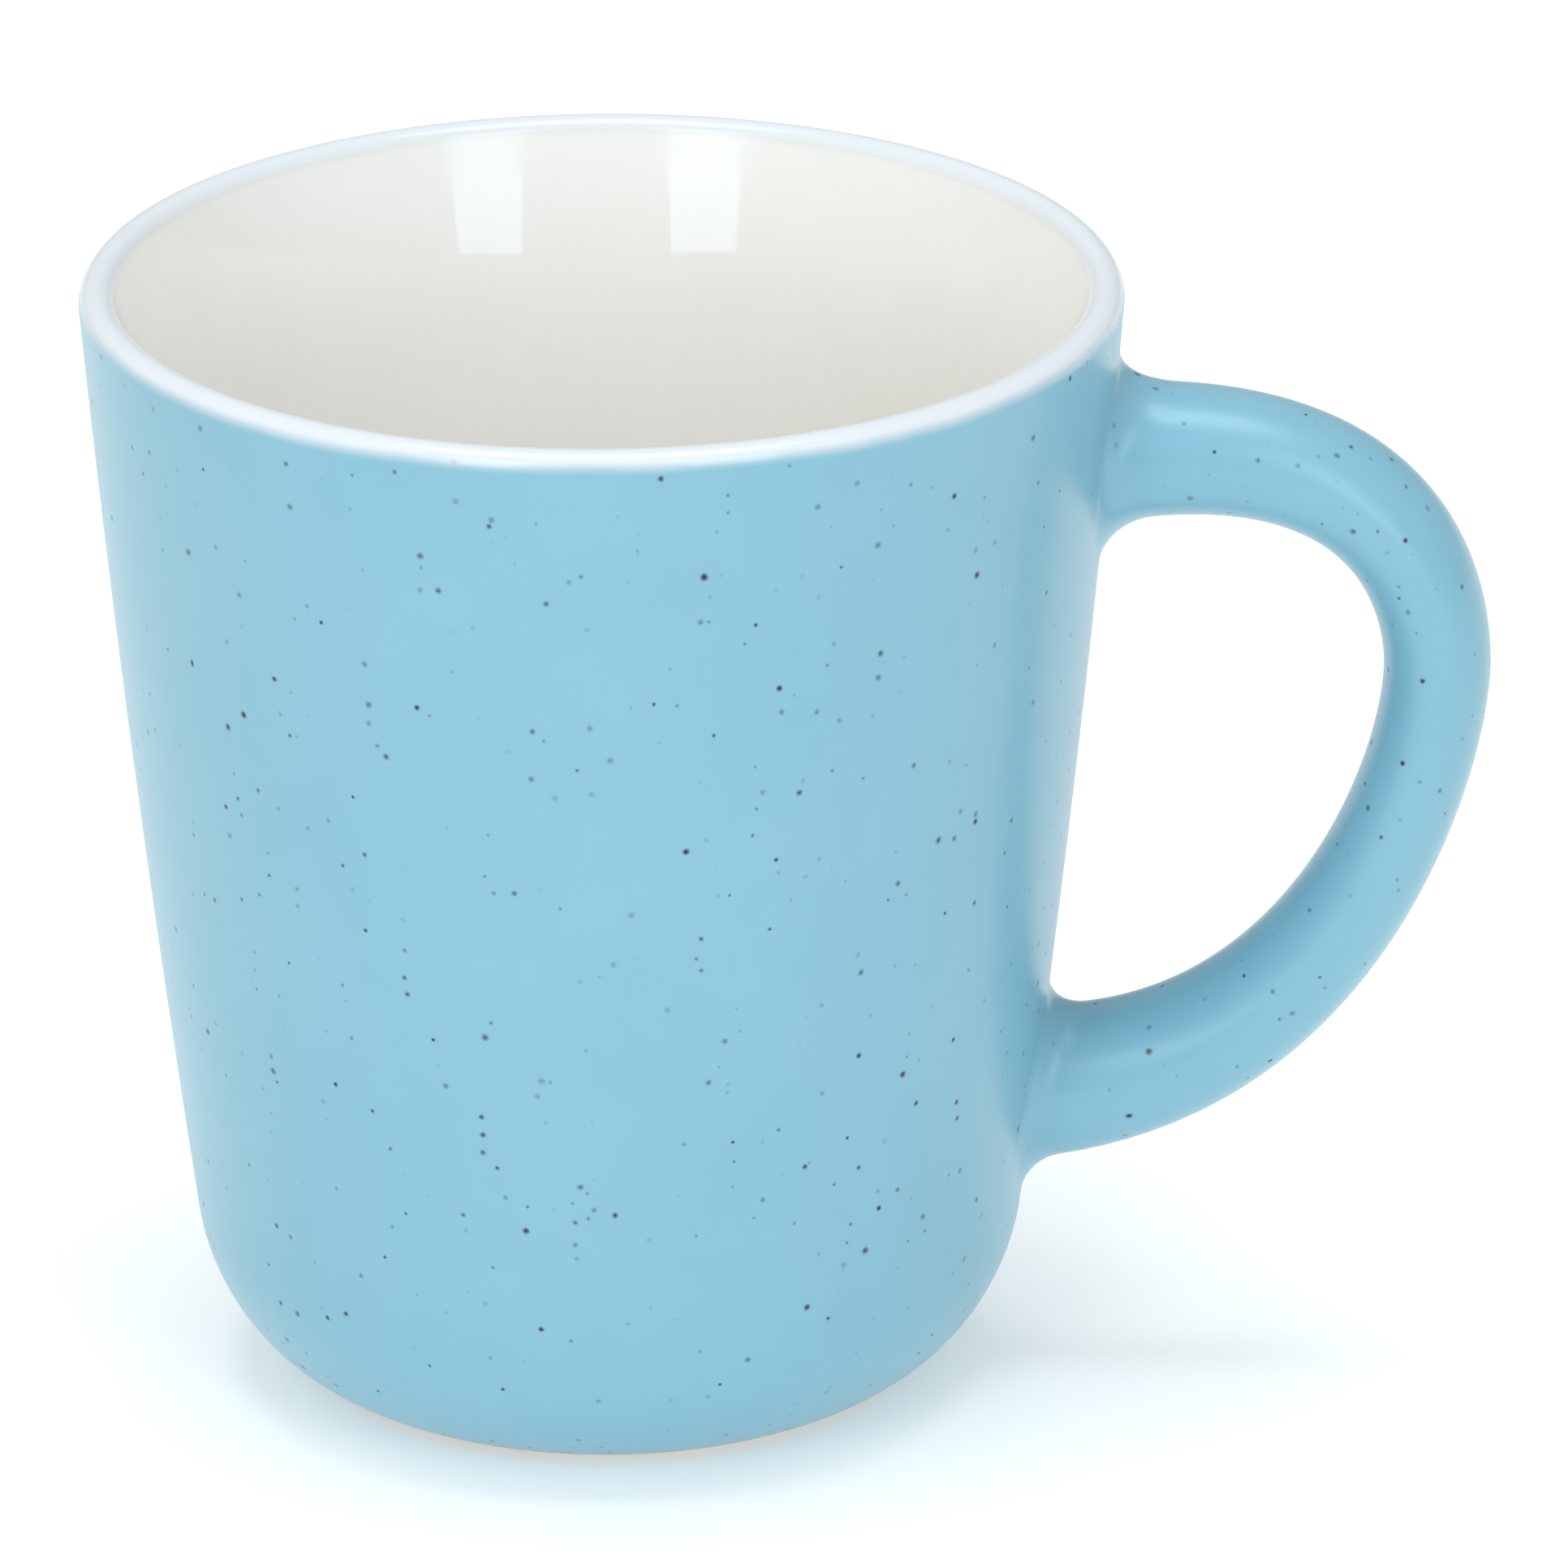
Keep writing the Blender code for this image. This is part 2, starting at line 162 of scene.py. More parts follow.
# Blue glaze.
BLUE = (0.228, 0.475, 0.59, 1.0)
BLUE_DEEP = (0.214, 0.458, 0.573, 1.0)
BLUE_PALE = (0.258, 0.50, 0.61, 1.0)
THIN_BLUE = (0.35, 0.55, 0.62, 1.0)
THIN_BLUE_HEIGHT = 0.9 * MM
MOTTLE_SIZE = 5 * MM
BLUE_CLOUD_SIZE = 14 * MM
BLUE_CLOUD_SHARE = 0.25
SATIN_ROUGHNESS = (0.27, 0.32)
BLUE_EDGE_ROUGHNESS = 0.12
BLUE_EDGE_FADE = 0.7 * MM
BLUE_EDGE_WANDER = 0.2 * MM
BLUE_EDGE_WANDER_SIZE = 11 * MM

# Iron specks: the spacing of the cells that may hold one, the smallest and largest radius, the share of
# the cells that do hold one, and the faintest and darkest strength.
PLAIN_SPECKS = (1.5 * MM, 0.23 * MM, 0.48 * MM, 0.37, 0.45, 1.3)
FAINT_SPECKS = (1.6 * MM, 0.22 * MM, 0.32 * MM, 0.12, 0.3, 0.6)
CLAY_SPECKS = (1.6 * MM, 0.08 * MM, 0.25 * MM, 0.3, 0.3, 0.9)
SPECK = (0.06, 0.12, 0.17, 1.0)
SPECK_CORE = (0.014, 0.016, 0.03, 1.0)
SPECK_CORE_SHARE = 0.1
SPECK_WOBBLE = 0.1 * MM
SPECK_WOBBLE_SIZE = 0.35 * MM

# Bare clay and slip.
CLAY = (0.74, 0.69, 0.60, 1.0)
CLAY_DEEP = (0.68, 0.62, 0.53, 1.0)
CLAY_CLOUD_SIZE = 6 * MM
CLAY_GRAIN_SIZE = 0.35 * MM
CLAY_GRAIN_DEPTH = 0.05 * MM
CLAY_ROUGHNESS = (0.75, 0.92)
SLIP = (0.72, 0.68, 0.61, 1.0)
SLIP_BRUSH_SIZE = 0.9 * MM
SLIP_BRUSH_DEPTH = 0.04 * MM
SLIP_ROUGHNESS = (0.82, 0.95)

# Studio floor.
FLOOR_LOW = (0.92, 0.9, 0.88, 1.0)
FLOOR_HIGH = (0.94, 0.92, 0.9, 1.0)
FLOOR_PATCH_SIZE = 0.4
FLOOR_ROUGHNESS = 0.9
FLOOR_GLOW = 0.26
FLOOR_GLOW_COLOUR = (1.0, 1.0, 1.0, 1.0)
FLOOR_SIZE = 8.0
FLOOR_DROP = 0.02 * MM

# Ranges that hold most, more and nearly all of the values of a noise.
MOST_NOISE = (0.3, 0.7)
MORE_NOISE = (0.25, 0.75)
NEARLY_ALL_NOISE = (0.2, 0.8)

# Camera. Azimuth 0 looks at the mug from the -Y side.
CAMERA_AZIMUTH = math.radians(3.0)
CAMERA_ELEVATION = math.radians(21.454)
CAMERA_DISTANCE = 1151.6 * MM
CAMERA_ROLL = math.radians(-0.215)
CAMERA_LENS_MM = 320.9
CAMERA_AIM_RIGHT = 14.66 * MM
CAMERA_AIM_HEIGHT = 50.15 * MM

# Lights. A softbox is (azimuth from the camera's, width, bottom, top), as angles that the mug sees.
LIGHT_COLOUR = (0.79, 0.91, 1.0)
SOFTBOX_DISTANCE = 1.5
SOFTBOX_LEFT = (math.radians(-26), math.radians(17), math.radians(4), math.radians(46))
SOFTBOX_RIGHT = (math.radians(29), math.radians(17), math.radians(4), math.radians(46))
SOFTBOX_RADIANCE = 2.95
OVERHEAD_WIDTH = 0.95
OVERHEAD_DEPTH = 0.62
OVERHEAD_HEIGHT = 1.4
OVERHEAD_RADIANCE = 4.75
ROOM_COLOUR = (1.0, 0.985, 0.95, 1.0)
ROOM_RADIANCE = 0.47
ROOM_LEFT_GAIN = 0.16
ROOM_TOP_GAIN = 0.2


# ---------------------------------------------------------------- outlines, as (distance from axis, height)


def bezier(start, first_pull, second_pull, end, share):
    """Points at these shares of a cubic Bezier curve. Each corner may be one point or a row of points."""
    return (
        (1 - share) ** 3 * start
        + 3 * (1 - share) ** 2 * share * first_pull
        + 3 * (1 - share) * share**2 * second_pull
        + share**3 * end
    )


def arc(centre, radius, start, end, steps):
    angles = np.linspace(start, end, steps + 1)[:, None]
    return np.array(centre) + radius * np.hstack([np.cos(angles), np.sin(angles)])


def lengths_along(points):
    steps = np.linalg.norm(np.diff(points, axis=0), axis=1)
    return np.insert(np.cumsum(steps), 0, 0.0)


def sunk(outline, depth):
    """The outline moved into the clay, which lies to the right of the way every outline here runs."""
    along = np.gradient(outline, axis=0)
    along /= np.linalg.norm(along, axis=1)[:, None]
    return outline + depth * np.column_stack([along[:, 1], -along[:, 0]])


LIP_CENTRE = np.array([RIM_RADIUS - LIP_THICKNESS / 2, CUP_HEIGHT - LIP_THICKNESS / 2])
WALL_HEIGHT = LIP_CENTRE[1] - WALL_END_HEIGHT
WALL_TAPER = (RIM_RADIUS - WALL_END_RADIUS) / WALL_HEIGHT
WALL_TOP_LEAN = math.atan(WALL_TAPER - 4 * WALL_BOW / WALL_HEIGHT)
WALL_END_LEAN = math.atan(WALL_TAPER + 4 * WALL_BOW / WALL_HEIGHT)
INNER_LIP_LEAN = math.atan(math.tan(WALL_TOP_LEAN) + WALL_THICKENING / THICKENING_DEPTH)
INNER_LIP_END = LIP_CENTRE + LIP_THICKNESS / 2 * np.array(
    [-math.cos(INNER_LIP_LEAN), math.sin(INNER_LIP_LEAN)]
)


def wall_radius(height):
    """The outer radius of the wall: a straight taper with a slight outward bow."""
    share = (LIP_CENTRE[1] - height) / WALL_HEIGHT
    return RIM_RADIUS - (RIM_RADIUS - WALL_END_RADIUS) * share + 4 * WALL_BOW * share * (1 - share)


def inner_radius(height):
    """The inner radius: the wall thickens quickly just below the lip, and then hardly at all."""
    taper = wall_radius(INNER_LIP_END[1]) - wall_radius(height)
    thickening = WALL_THICKENING * np.tanh((INNER_LIP_END[1] - height) / THICKENING_DEPTH)
    return INNER_LIP_END[0] - taper - thickening


def outer_outline():
    """From the top of the lip down the wall and the base curve to the outer edge of the foot."""
    lip = arc(LIP_CENTRE, LIP_THICKNESS / 2, math.pi / 2, -WALL_TOP_LEAN, CURVE_SAMPLES)
    heights = np.linspace(lip[-1][1], WALL_END_HEIGHT, CURVE_SAMPLES)[1:-1]
    wall = np.column_stack([wall_radius(heights), heights])
    wall_end = np.array([WALL_END_RADIUS, WALL_END_HEIGHT])
    foot_edge = np.array([FOOT_RADIUS, 0.0])
    down_the_wall = np.array([-math.sin(WALL_END_LEAN), -math.cos(WALL_END_LEAN)])
    away_from_foot = np.array([math.cos(FOOT_APPROACH), math.sin(FOOT_APPROACH)])
    base_curve = bezier(
        wall_end,
        wall_end + BASE_CURVE_UPPER_PULL * down_the_wall,
        foot_edge + BASE_CURVE_LOWER_PULL * away_from_foot,
        foot_edge,
        np.linspace(0, 1, CURVE_SAMPLES)[:, None],
    )
    return np.vstack([lip, wall, base_curve])


OUTER_OUTLINE = outer_outline()
OUTER_LENGTHS = lengths_along(OUTER_OUTLINE)


def length_at_height(height):
    """How far down the outer outline this height lies, measured from the top of the lip."""
    return np.interp(height, OUTER_OUTLINE[::-1, 1], OUTER_LENGTHS[::-1])


def cup_point(angle, length):
    """The point of the outer surface at this angle round the axis, this far down its outline."""
    radius = np.interp(length, OUTER_LENGTHS, OUTER_OUTLINE[:, 0])
    height = np.interp(length, OUTER_LENGTHS, OUTER_OUTLINE[:, 1])
    return np.stack([radius * np.cos(angle), radius * np.sin(angle), height], axis=-1)


def glaze_line_length(angle):
    """How far down the outline the blue glaze begins. Dipping left the line a little out of level."""
    return GLAZE_LINE_LENGTH + GLAZE_LINE_SWAY * np.cos(angle - GLAZE_LINE_LOWEST)


def seam_length(angle):
    """How far down the outline the white and the blue skins meet, a little above the edge of the blue."""
    return glaze_line_length(angle) - GLAZE_LINE_MARGIN


def inner_outline():
    """From the middle of the floor up the inside to the top of the lip."""
    corner_top = FLOOR_HEIGHT + INNER_CORNER_RADIUS * (1 - math.sin(WALL_END_LEAN))
    corner_centre = (
        inner_radius(corner_top) - INNER_CORNER_RADIUS * math.cos(WALL_END_LEAN),
        FLOOR_HEIGHT + INNER_CORNER_RADIUS,
    )
    corner = arc(corner_centre, INNER_CORNER_RADIUS, -math.pi / 2, -WALL_END_LEAN, CORNER_ROWS)
    floor_radii = np.linspace(0, corner_centre[0], FLOOR_ROWS + 1)[:-1]
    floor = np.column_stack([floor_radii, np.full(FLOOR_ROWS, FLOOR_HEIGHT)])
    # The rows of the wall lie closer together towards the lip, where it curves.
    drop_shares = np.linspace(1, 0, INNER_WALL_ROWS + 1)[1:-1] ** INNER_WALL_CROWDING
    heights = INNER_LIP_END[1] - (INNER_LIP_END[1] - corner_top) * drop_shares
    wall = np.column_stack([inner_radius(heights), heights])
    lip = arc(LIP_CENTRE, LIP_THICKNESS / 2, math.pi - INNER_LIP_LEAN, math.pi / 2, LIP_ROWS)
    return np.vstack([floor, corner, wall, lip])


# ---------------------------------------------------------------- meshes


def vertex_normals(points, faces):
    """The area-weighted normal at each point of a mesh of quads, some of them with two corners in one."""
    corners = points[faces]
    across = np.cross(corners[:, 2] - corners[:, 0], corners[:, 3] - corners[:, 1])
    normals = np.zeros_like(points)
    for corner in range(4):
        np.add.at(normals, faces[:, corner], across)
    return normals / np.linalg.norm(normals, axis=1)[:, None]


def open_edges(faces):
    """The edges that only one face has, each in the direction in which that face runs."""
    edges = np.vstack([faces[:, [corner, (corner + 1) % 4]] for corner in range(4)])
    edges = edges[edges[:, 0] != edges[:, 1]]
    forward = {(start, end) for start, end in edges.tolist()}
    return [(start, end) for start, end in sorted(forward) if (end, start) not in forward]


def skin_of(points, faces, sink):
    """Points and faces of a closed skin of glaze behind this surface, its front lowered by sink."""
    normals = vertex_normals(points, faces)
    front = points - normals * sink[:, None]
    back = points - normals * GLAZE
    count = len(points)
    rim = [(end, start, start + count, end + count) for start, end in open_edges(faces)]
    all_faces = np.vstack([faces, faces[:, ::-1] + count, np.array(rim)])
    return np.vstack([front, back]), all_faces


def add_piece(name, points, faces, material, replaced):
    """The mesh of a new object that rides on the mug's one body and stands for this CAD node."""
    placed = points + np.array([CUP_AXIS_X, 0.0, 0.0])
    mesh = bpy.data.meshes.new(name)
    mesh.from_pydata(placed.tolist(), [], [list(dict.fromkeys(face)) for face in faces.tolist()])
    mesh.shade_smooth()
    mesh.set_sharp_from_angle(angle=CREASE_ANGLE)
    mesh.materials.append(material)
    obj = bpy.data.objects.new(name, mesh)
    bpy.context.scene.collection.objects.link(obj)
    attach(obj, "root")
    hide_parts(replaced)
    return mesh


def turned_surface(rows):
    """Points and faces of a surface of revolution, from rows of (radius, height), each SIDES long.

    A row on the axis becomes one point. The surface faces up where the rows run outwards, away from the
    axis where they run down, and towards the axis where they run up.
    """
    angles = np.linspace(0, 2 * math.pi, SIDES, endpoint=False)
    points = []
    indices = []
    for radii, heights in rows:
        first = len(points)
        if np.max(radii) == 0:
            points.append((0.0, 0.0, float(np.max(heights))))
            indices.append(np.full(SIDES, first))
            continue
        ring = np.column_stack(
            [radii * np.cos(angles), radii * np.sin(angles), np.broadcast_to(heights, SIDES)]
        )
        points.extend(map(tuple, ring))
        indices.append(np.arange(first, first + SIDES))
    faces = []
    for near, far in zip(indices, indices[1:]):
        faces.append(np.column_stack([near, far, np.roll(far, -1), np.roll(near, -1)]))
    return np.array(points), np.vstack(faces)


def turned_rows(outline):
    return [(np.full(SIDES, radius), height) for radius, height in outline]


# ---------------------------------------------------------------- handle


def handle_route():
    """The handle's centre line from root to root, and the share of its length at each point."""
    upper_root, outermost, lower_root = np.array([UPPER_ROOT, OUTERMOST, LOWER_ROOT])
    rise = np.array([math.cos(UPPER_ROOT_RISE), math.sin(UPPER_ROOT_RISE)])
    upper_pull = upper_root + UPPER_PULL * rise
    lower_pull = lower_root + [LOWER_PULL, 0.0]
    # With pulls of these lengths both stretches have the same curvature where they meet.
    above = math.sqrt(2 / 3 * (outermost[0] - upper_pull[0]) * OUTERMOST_CURVE_RADIUS)
    below = math.sqrt(2 / 3 * (outermost[0] - lower_pull[0]) * OUTERMOST_CURVE_RADIUS)
    share = np.linspace(0, 1, CURVE_SAMPLES + 1)[:, None]
    upper = bezier(upper_root, upper_pull, outermost + [0, above], outermost, share)
    lower = bezier(outermost, outermost - [0, below], lower_pull, lower_root, share)
    points = np.vstack([upper, lower[1:]])
    lengths = lengths_along(points)
    along = np.gradient(points, lengths, axis=0)
    return points, along, lengths / lengths[-1]


ROUTE_POINTS, ROUTE_ALONG, ROUTE_SHARES = handle_route()


def half_thickness(share):
    """Half the thickness in the handle's own plane: least near the middle, more towards each root."""
    to_upper = np.clip(1 - share / THINNEST_AT, 0, None) ** 2
    to_lower = np.clip((share - THINNEST_AT) / (1 - THINNEST_AT), 0, None) ** 2
    return (
        THINNEST_HALF_THICKNESS
        + (UPPER_HALF_THICKNESS - THINNEST_HALF_THICKNESS) * to_upper
        + (LOWER_HALF_THICKNESS - THINNEST_HALF_THICKNESS) * to_lower
    )


def half_width(share):
    return HALF_WIDTH + (ROOT_HALF_WIDTH - HALF_WIDTH) * np.abs(2 * share - 1) ** 3


def handle_point(share, angle):
    """The point at this share of the handle's length and this angle round its oval section."""
    centre = [np.interp(share, ROUTE_SHARES, ROUTE_POINTS[:, axis]) for axis in (0, 1)]
    along = [np.interp(share, ROUTE_SHARES, ROUTE_ALONG[:, axis]) for axis in (0, 1)]
    size = np.hypot(*along)
    in_plane = half_thickness(share) * np.cos(angle)
    x = centre[0] - along[1] / size * in_plane
    z = centre[1] + along[0] / size * in_plane
    y = half_width(share) * np.sin(angle)
    return np.stack(np.broadcast_arrays(x, y, z), axis=-1)


HANDLE_ANGLES = np.linspace(0, 2 * math.pi, HANDLE_SIDES, endpoint=False)


def fillet_reach(outer_inner_flank, angle):
    """A reach that passes smoothly through the three given ones as it goes round the handle."""
    outer, inner, flank = outer_inner_flank
    middle = (outer + inner) / 2
    return flank + (outer - inner) / 2 * np.cos(angle) + (middle - flank) * np.cos(angle) ** 2


def unit(vectors):
    return vectors / np.linalg.norm(vectors, axis=-1, keepdims=True)


def joint_foot(shares, on_handle, on_wall):
    """Where a joint's fillet begins on the wall and ends on the handle, for each angle round the handle.

    shares run along the handle from the root's end, inside the wall, to the first shared section.
    """
    crossing_shares = []
    handle_shares = []
    for angle, reach in zip(HANDLE_ANGLES, fillet_reach(on_handle, HANDLE_ANGLES)):
        rail = handle_point(shares, angle)
        wall = np.interp(rail[:, 2], OUTER_OUTLINE[::-1, 1], OUTER_OUTLINE[::-1, 0])
        lengths = lengths_along(rail)
        crossing = np.interp(0.0, np.hypot(rail[:, 0], rail[:, 1]) - wall, lengths)
        crossing_shares.append(np.interp(crossing, lengths, shares))
        handle_shares.append(np.interp(crossing + reach, lengths, shares))
    crossing_shares = np.array(crossing_shares)
    corner = handle_point(crossing_shares, HANDLE_ANGLES)

    # On the wall the reach is laid off in the wall's own flattened coordinates.
    radius = np.hypot(corner[:, 0], corner[:, 1])
    corner_angle = np.arctan2(corner[:, 1], corner[:, 0])
    corner_length = length_at_height(corner[:, 2])
    flat = np.column_stack([radius * corner_angle, corner_length])
    run = unit(np.roll(flat, -1, axis=0) - np.roll(flat, 1, axis=0))
    outward = np.column_stack([run[:, 1], -run[:, 0]])
    outward *= np.sign(np.sum(outward * (flat - flat.mean(axis=0))))
    flat += outward * fillet_reach(on_wall, HANDLE_ANGLES)[:, None]
    return {
        "corner": corner,
        "corner_angle": corner_angle,
        "corner_length": corner_length,
        "crossing_shares": crossing_shares,
        "handle_shares": np.array(handle_shares),
        "wall_angle": flat[:, 0] / radius,
        "wall_length": flat[:, 1],
    }


def joint_rings(foot, block_angle, block_length, last_share):
    """The rings of points from the edge of the gap in the wall, through the fillet, up the handle."""
    wall_angle = foot["wall_angle"]
    wall_length = foot["wall_length"]
    rings = []
    for ring in range(1, TRANSITION_RINGS + 1):
        share = ring / (TRANSITION_RINGS + 1)
        angle = block_angle + (wall_angle - block_angle) * share
        length = block_length + (wall_length - block_length) * share
        rings.append(cup_point(angle, length))

    wall_end = cup_point(wall_angle, wall_length)
    inward_on_wall = cup_point(
        wall_angle + (foot["corner_angle"] - wall_angle) * TANGENT_STEP,
        wall_length + (foot["corner_length"] - wall_length) * TANGENT_STEP,
    )
    handle_shares = foot["handle_shares"]
    back_shares = handle_shares + (foot["crossing_shares"] - handle_shares) * TANGENT_STEP
    handle_end = handle_point(handle_shares, HANDLE_ANGLES)
    back_on_handle = handle_point(back_shares, HANDLE_ANGLES)
    wall_reach = np.linalg.norm(foot["corner"] - wall_end, axis=1)[:, None]
    handle_reach = np.linalg.norm(foot["corner"] - handle_end, axis=1)[:, None]
    wall_pull = wall_end + unit(inward_on_wall - wall_end) * wall_reach * FILLET_FULLNESS
    handle_pull = handle_end + unit(back_on_handle - handle_end) * handle_reach * FILLET_FULLNESS
    for ring in range(FILLET_RINGS + 1):
        rings.append(bezier(wall_end, wall_pull, handle_pull, handle_end, ring / FILLET_RINGS))

    for ring in range(1, ROOT_RINGS):
        shares = handle_shares + (last_share - handle_shares) * ring / ROOT_RINGS
        rings.append(handle_point(shares, HANDLE_ANGLES))
    return rings


# ---------------------------------------------------------------- outer glaze


def outer_rows():
    """The outline length of each row of the wall, at each angle, and how far each row's front is sunk."""
    angles = np.linspace(0, 2 * math.pi, SIDES, endpoint=False)
    lip_end = LIP_THICKNESS / 2 * (math.pi / 2 + WALL_TOP_LEAN)
    toe = length_at_height(GLAZE_END_HEIGHT)
    toe_start = toe - GLAZE_END_ROUNDING
    seam = seam_length(angles)
    lip = [seam + (lip_end - seam) * share for share in np.linspace(0, 1, LIP_ROWS)]
    wall_count = round((toe_start - lip_end) / ROW_SPACING)
    wall = np.linspace(lip_end, toe_start, wall_count + 1)[1:]
    towards_toe = np.linspace(0, 1, TOE_ROWS + 1)[1:]
    rounding = toe_start + GLAZE_END_ROUNDING * np.sin(towards_toe * math.pi / 2)
    flat_rows = [np.full(SIDES, length) for length in np.concatenate([wall, rounding])]
    toe_sink = (GLAZE - CONTACT) * (1 - np.cos(towards_toe * math.pi / 2))
    sinks = np.concatenate([np.zeros(LIP_ROWS + wall_count), toe_sink])
    return angles, np.array(lip + flat_rows), sinks


def block_path(first_row, starts_at_top):
    """The (row, column) of each point on the edge of a block of the wall, in the handle's own order."""
    start, far, down = first_row, first_row + BLOCK_ROWS, 1
    if not starts_at_top:
        start, far, down = far, start, -1
    half = BLOCK_HALF_SEGMENTS
    path = [(start, column) for column in range(half)]
    path += [(row, half) for row in range(start, far, down)]
    path += [(far, column) for column in range(half, -half, -1)]
    path += [(row, -half) for row in range(far, start, -down)]
    path += [(start, column) for column in range(-half, 0)]
    return path


def grid_faces(row_count, gaps):
    """The faces of the wall's grid, without those of the blocks that start in the given rows."""
    faces = []
    for row in range(row_count - 1):
        gap = any(first <= row < first + BLOCK_ROWS for first in gaps)
        for column in range(SIDES):
            following = (column + 1) % SIDES
            offset = (column + BLOCK_HALF_SEGMENTS) % SIDES
            if gap and offset < 2 * BLOCK_HALF_SEGMENTS:
                continue
            near, far = row * SIDES, (row + 1) * SIDES
            faces.append((near + column, far + column, far + following, near + following))
    return faces


def outer_surface():
    """The finished outer surface: wall, base curve, both joints and the handle as one mesh."""
    angles, rows, row_sinks = outer_rows()
    points = [cup_point(angles, row) for row in rows]
    row_lengths = rows[:, 0]
    from_upper_root = np.linspace(0, ROOT_SHARE, CURVE_SAMPLES)
    from_lower_root = np.linspace(1, 1 - ROOT_SHARE, CURVE_SAMPLES)
    feet = [
        joint_foot(from_upper_root, UPPER_FILLET_ON_HANDLE, UPPER_FILLET_ON_WALL),
        joint_foot(from_lower_root, LOWER_FILLET_ON_HANDLE, LOWER_FILLET_ON_WALL),
    ]
    gaps = []
    for foot in feet:
        middle = (foot["wall_length"].min() + foot["wall_length"].max()) / 2
        gaps.append(int(np.argmin(abs(row_lengths - middle))) - BLOCK_ROWS // 2)
    faces = grid_faces(len(rows), gaps)

    paths = [block_path(gaps[0], True), block_path(gaps[1], False)]
    ends = []
    for foot, path, last_share in zip(feet, paths, (ROOT_SHARE, 1 - ROOT_SHARE)):
        block_angle = np.array([column for _, column in path]) * 2 * math.pi / SIDES
        block_length = np.array([row_lengths[row] for row, _ in path])
        ends.append(joint_rings(foot, block_angle, block_length, last_share))
    middle_shares = np.linspace(ROOT_SHARE, 1 - ROOT_SHARE, MIDDLE_STATIONS)
    middle = [handle_point(share, HANDLE_ANGLES) for share in middle_shares]
    rings = ends[0] + middle + ends[1][::-1]

    upper_edge, lower_edge = [
        np.array([row * SIDES + column % SIDES for row, column in path]) for path in paths
    ]
    first = len(rows) * SIDES
    ring_starts = first + HANDLE_SIDES * np.arange(len(rings))
    ring_indices = [ring_start + np.arange(HANDLE_SIDES) for ring_start in ring_starts]
    ring_indices = [upper_edge] + ring_indices + [lower_edge]
    for near, far in zip(ring_indices, ring_indices[1:]):
        faces.extend(np.column_stack([near, far, np.roll(far, -1), np.roll(near, -1)]).tolist())
    all_points = np.vstack(points + rings)
    sinks = np.concatenate([np.repeat(row_sinks, SIDES), np.zeros(len(rings) * HANDLE_SIDES)])

    # The points inside the two gaps belong to no face.
    faces = np.array(faces)
    used, faces = np.unique(faces, return_inverse=True)
    return all_points[used], faces.reshape(-1, 4), sinks[used]


def make_outer_glaze(blue):
    """The blue glaze, with how far below its upper edge each point lies kept for its material."""
    points, faces, sinks = outer_surface()
    skin_points, skin_faces = skin_of(points, faces, sinks)
    name, slot = "outer_glaze_skin", "blue_satin_glaze"
    mesh = add_piece(name, skin_points, skin_faces, blue, "outer_glaze")
    angles = np.arctan2(points[:, 1], points[:, 0])
    below_line = length_at_height(points[:, 2]) - glaze_line_length(angles)
    attribute = mesh.attributes.new(BELOW_LINE, "FLOAT", "POINT")
    attribute.data.foreach_set("value", np.tile(below_line, 2).astype(np.float32))


# ---------------------------------------------------------------- liner, base glaze and clay


def make_liner_glaze(white):
    """The white glaze that lines the cup and runs over the rim to meet the outer glaze."""
    rows = turned_rows(inner_outline())
    angles = np.linspace(0, 2 * math.pi, SIDES, endpoint=False)
    seam_turn = seam_length(angles) / (LIP_THICKNESS / 2)
    for share in np.linspace(0, 1, SEAM_ROWS + 1)[1:]:
        turn = math.pi / 2 - seam_turn * share
        radii = LIP_CENTRE[0] + LIP_THICKNESS / 2 * np.cos(turn)
        heights = LIP_CENTRE[1] + LIP_THICKNESS / 2 * np.sin(turn)
        rows.append((radii, heights))
    points, faces = turned_surface(rows)
    points, faces = skin_of(points, faces, np.zeros(len(points)))
    add_piece("liner_glaze_skin", points, faces, white, "liner_glaze")


def make_base_glaze(white):
    """The disc of white glaze in the recess under the cup, which creeps up a little at its edge."""
    radius = FOOT_RADIUS - FOOT_WIDTH - RECESS_DRAFT - CONTACT
    flat_radius = radius - CREEP_WIDTH
    creep_radii = np.linspace(radius, flat_radius, CREEP_ROWS + 1)[:-1]
    flat_radii = np.linspace(flat_radius, 0, DISC_ROWS + 1)
    radii = np.concatenate([creep_radii, flat_radii])
    creep = GLAZE / 2 * np.clip(1 - (radius - radii) / CREEP_WIDTH, 0, None) ** 2
    visible = np.column_stack([radii, RECESS_HEIGHT - creep])
    points, faces = turned_surface(turned_rows(visible))
    points, faces = skin_of(points, faces, np.zeros(len(points)))
    add_piece("base_glaze_skin", points, faces, white, "base_glaze")


